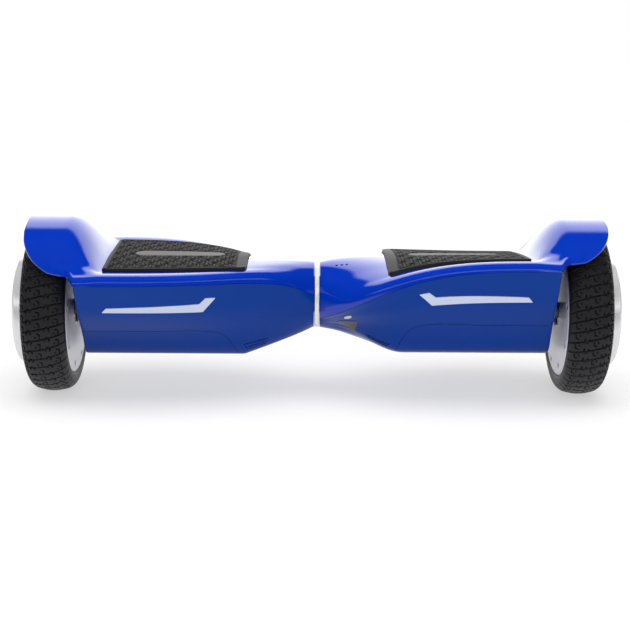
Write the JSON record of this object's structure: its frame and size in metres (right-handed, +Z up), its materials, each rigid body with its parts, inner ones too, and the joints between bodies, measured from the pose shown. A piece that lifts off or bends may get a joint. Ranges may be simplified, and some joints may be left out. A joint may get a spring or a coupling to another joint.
{
  "type": "self balancing hoverboard",
  "caption": "Two-wheeled self balancing board: two deck halves twist about a central pivot, each with a rubber foot pad, a front light, a fender and a hub motor wheel.",
  "frame": {"origin": "on the ground, straight below the middle of the central pivot, midway between the two wheels", "axes": "+X from the left wheel to the right wheel along the pivot, -Y the front with the lights, +Z up from the ground"},
  "size_m": [0.5796, 0.189, 0.1729],
  "materials": {
    "gloss_blue": "high gloss",
    "lower_blue": "gloss",
    "pad_rubber": "matt, moulded relief",
    "tyre_rubber": "matt",
    "machined_aluminium": "satin",
    "brushed_ring": "brushed",
    "steel": "satin",
    "motor_iron": "matt",
    "copper_wire": "lacquered wire",
    "circuit_board": "matt",
    "light_lens": "frosted translucent",
    "white_plastic": "matt",
    "black_plastic": "matt"
  },
  "bodies": {
    "left_half": {"axle_clamp_left": "machined_aluminium", "battery_pack": "black_plastic", "bottom_cover_left": "lower_blue", "cable_loom": "black_plastic", "clamp_screw_a_left": "steel", "clamp_screw_b_left": "steel", "frame_left": "machined_aluminium", "headlight_board_left": "circuit_board", "headlight_lens_left": "light_lens", "lower_shell_left": "lower_blue", "motor_axle_left": "steel", "neck_sleeve": "black_plastic", "pivot_tube": "steel", "sensor_board_left": "circuit_board", "stator_coils_left": "copper_wire", "stator_core_left": "motor_iron", "trim_ring": "brushed_ring", "upper_shell_left": "gloss_blue"},
    "right_half": {"axle_clamp_right": "machined_aluminium", "bottom_cover_right": "lower_blue", "charge_port": "black_plastic", "clamp_screw_a_right": "steel", "clamp_screw_b_right": "steel", "control_board": "circuit_board", "frame_right": "machined_aluminium", "headlight_board_right": "circuit_board", "headlight_lens_right": "light_lens", "indicator_lens": "light_lens", "lower_shell_right": "lower_blue", "motor_axle_right": "steel", "pivot_bushing": "white_plastic", "rating_label": "black_plastic", "round_sticker": "white_plastic", "sensor_board_right": "circuit_board", "speaker": "black_plastic", "stator_coils_right": "copper_wire", "stator_core_right": "motor_iron", "upper_shell_right": "gloss_blue"},
    "wheel_left": {"hub_cap_left": "machined_aluminium", "rotor_cover_left": "machined_aluminium", "rotor_magnets_left": "motor_iron", "rotor_shell_left": "machined_aluminium", "tyre_left": "tyre_rubber", "wheel_bearing_inner_left": "steel", "wheel_bearing_outer_left": "steel"},
    "wheel_right": {"hub_cap_right": "machined_aluminium", "rotor_cover_right": "machined_aluminium", "rotor_magnets_right": "motor_iron", "rotor_shell_right": "machined_aluminium", "tyre_right": "tyre_rubber", "wheel_bearing_inner_right": "steel", "wheel_bearing_outer_right": "steel"},
    "pad_left": {"foot_pad_left": "pad_rubber", "pad_plunger_a_left": "white_plastic", "pad_plunger_b_left": "white_plastic"},
    "pad_right": {"foot_pad_right": "pad_rubber", "pad_plunger_a_right": "white_plastic", "pad_plunger_b_right": "white_plastic"},
    "power_button": {"power_button": "machined_aluminium"},
    "port_cap": {"port_cap": "black_plastic"}
  },
  "joints": [
    {"name": "pivot_twist", "type": "hinge", "parent": "left_half", "child": "right_half", "pos_m": [0, 0, 0.09675], "axis": [1, 0, 0], "range_deg": [-10, 29]},
    {"name": "wheel_spin_right", "type": "hinge", "parent": "right_half", "child": "wheel_right", "pos_m": [0.2573, -0.00118, 0.08255], "axis": [1, 0, 0], "continuous": true},
    {"name": "wheel_spin_left", "type": "hinge", "parent": "left_half", "child": "wheel_left", "pos_m": [-0.2573, 0.00118, 0.08255], "axis": [1, 0, 0], "continuous": true},
    {"name": "pad_press_right", "type": "slide", "parent": "right_half", "child": "pad_right", "axis": [0, -0.0828, -0.9966], "range_m": [0, 0.0015], "stiffness_N_per_m": 3000},
    {"name": "pad_press_left", "type": "slide", "parent": "left_half", "child": "pad_left", "axis": [0, 0.0828, -0.9966], "range_m": [0, 0.0015], "stiffness_N_per_m": 3000},
    {"name": "power_button_press", "type": "slide", "parent": "right_half", "child": "power_button", "axis": [0, -0.7061, 0.7081], "range_m": [0, 0.001], "stiffness_N_per_m": 800},
    {"name": "port_cap_flip", "type": "hinge", "parent": "right_half", "child": "port_cap", "pos_m": [0.18, 0.07721, 0.09105], "axis": [1, 0, 0], "range_deg": [0, 100]}
  ]
}
